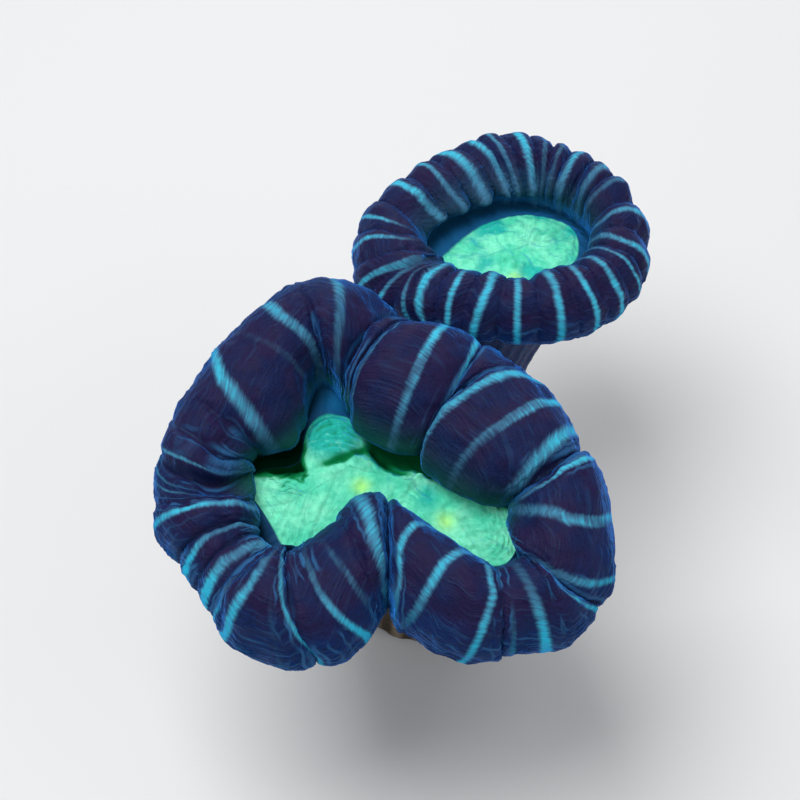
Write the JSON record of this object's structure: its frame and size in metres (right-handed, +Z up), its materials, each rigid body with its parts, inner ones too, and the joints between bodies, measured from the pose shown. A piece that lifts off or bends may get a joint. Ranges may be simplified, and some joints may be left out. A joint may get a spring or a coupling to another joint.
{
  "type": "candy cane coral",
  "caption": "Cut piece of branching stony coral with a large dividing fleshy head and a smaller oval head, striped swollen rims and sunken mouth discs, standing on its cut foot.",
  "frame": {"origin": "middle of the flat cut face at the foot of the trunk", "axes": "+Z up, away from the cut face; the large dividing head is towards -Y, the small head towards +Y and +X"},
  "size_m": [0.0434, 0.0571, 0.0397],
  "materials": {
    "skeleton": "matte",
    "polyp_flesh": "satin"
  },
  "bodies": {
    "root": {"trunk": "skeleton", "front_branch": "skeleton", "rear_branch": "skeleton", "front_polyp": "polyp_flesh", "rear_polyp": "polyp_flesh"}
  },
  "joints": []
}
